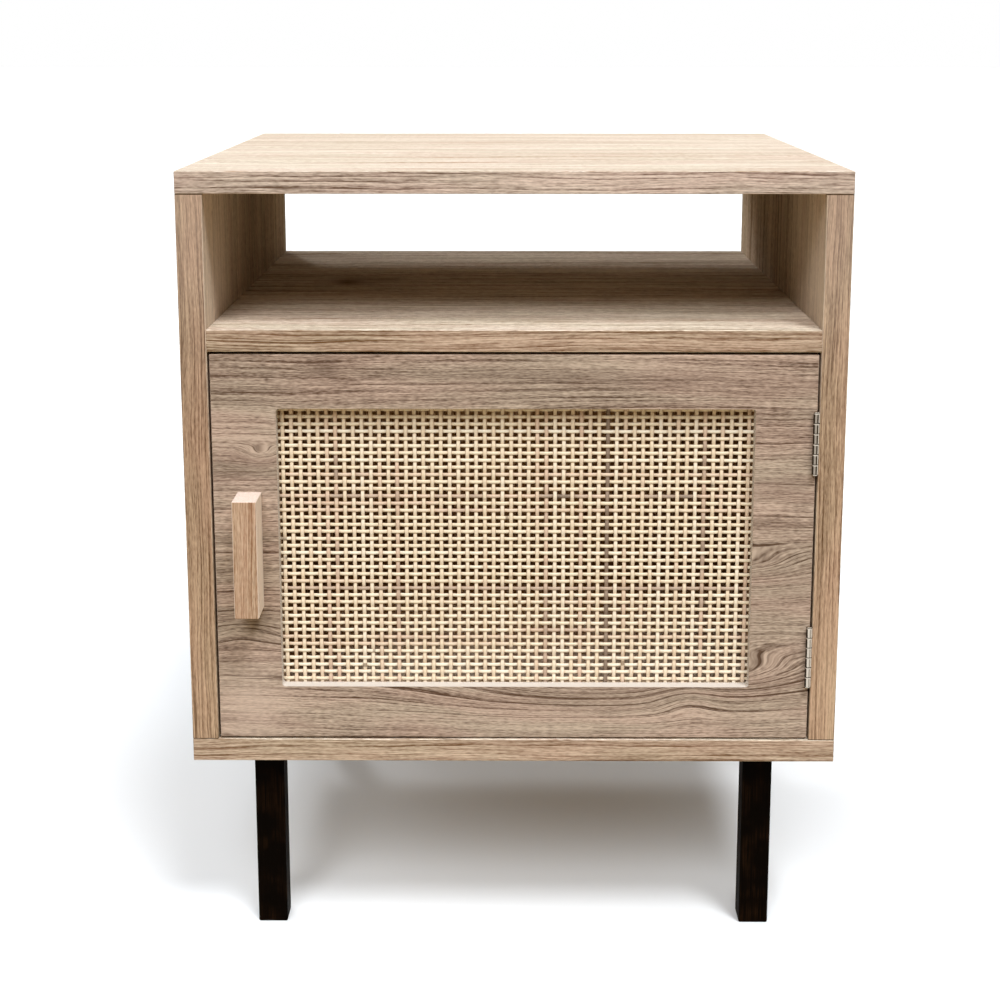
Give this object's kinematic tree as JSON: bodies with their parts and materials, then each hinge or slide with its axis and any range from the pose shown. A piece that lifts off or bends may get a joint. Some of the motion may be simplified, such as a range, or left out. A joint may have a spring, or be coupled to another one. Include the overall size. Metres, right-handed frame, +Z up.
{
  "type": "storage side table",
  "caption": "Box side table on four square legs, with an open see-through niche under the top and a cupboard behind a side-hinged door with a woven cane panel.",
  "frame": {"origin": "on the floor, in the middle of the table's outline with its pull, where the bounding box's bottom face has its centre", "axes": "+Z up, the door faces -Y, +X to the right as seen from the front, so the door hinges on the +X side"},
  "size_m": [0.45, 0.477, 0.549],
  "materials": {
    "top_veneer": "clear matt lacquer",
    "side_veneer": "clear matt lacquer",
    "shelf_veneer": "clear matt lacquer",
    "bottom_veneer": "clear matt lacquer",
    "back_veneer": "clear matt lacquer",
    "door_veneer": "clear matt lacquer",
    "bead_wood": "clear matt lacquer",
    "pull_wood": "sanded, clear matt lacquer",
    "dowel_wood": "bare beech",
    "leg_black": "black satin lacquer",
    "cane": "bare split cane",
    "hinge_steel": "nickel plated",
    "screw_steel": "nickel plated",
    "zinc_steel": "zinc plated",
    "catch_plastic": "moulded, fine texture",
    "magnet_ferrite": "dark ferrite"
  },
  "bodies": {
    "cabinet": {"top_panel": "top_veneer", "left_side_panel": "side_veneer", "right_side_panel": "side_veneer", "niche_shelf": "shelf_veneer", "bottom_panel": "bottom_veneer", "back_panel": "back_veneer", "top_dowels": "dowel_wood", "shelf_dowels": "dowel_wood", "base_dowels": "dowel_wood", "front_left_leg": "leg_black", "front_right_leg": "leg_black", "rear_left_leg": "leg_black", "rear_right_leg": "leg_black", "leg_bolts": "zinc_steel", "leg_inserts": "zinc_steel", "lower_hinge_cabinet_leaf": "hinge_steel", "upper_hinge_cabinet_leaf": "hinge_steel", "hinge_cabinet_screws": "screw_steel", "hinge_pins": "hinge_steel", "catch_housing": "catch_plastic", "catch_magnet": "magnet_ferrite", "catch_poles": "zinc_steel", "catch_screws": "screw_steel"},
    "door": {"door_panel": "door_veneer", "cane_panel": "cane", "top_bead": "bead_wood", "bottom_bead": "bead_wood", "left_bead": "bead_wood", "right_bead": "bead_wood", "bead_brads": "zinc_steel", "door_pull": "pull_wood", "pull_screws": "screw_steel", "lower_hinge_door_leaf": "hinge_steel", "upper_hinge_door_leaf": "hinge_steel", "hinge_door_screws": "screw_steel", "catch_strike": "zinc_steel", "strike_screw": "screw_steel"}
  },
  "joints": [
    {"name": "door_hinge", "type": "hinge", "parent": "cabinet", "child": "door", "pos_m": [0.2048, -0.213, 0.29], "axis": [0, 0, 1], "range_deg": [0, 180]}
  ]
}
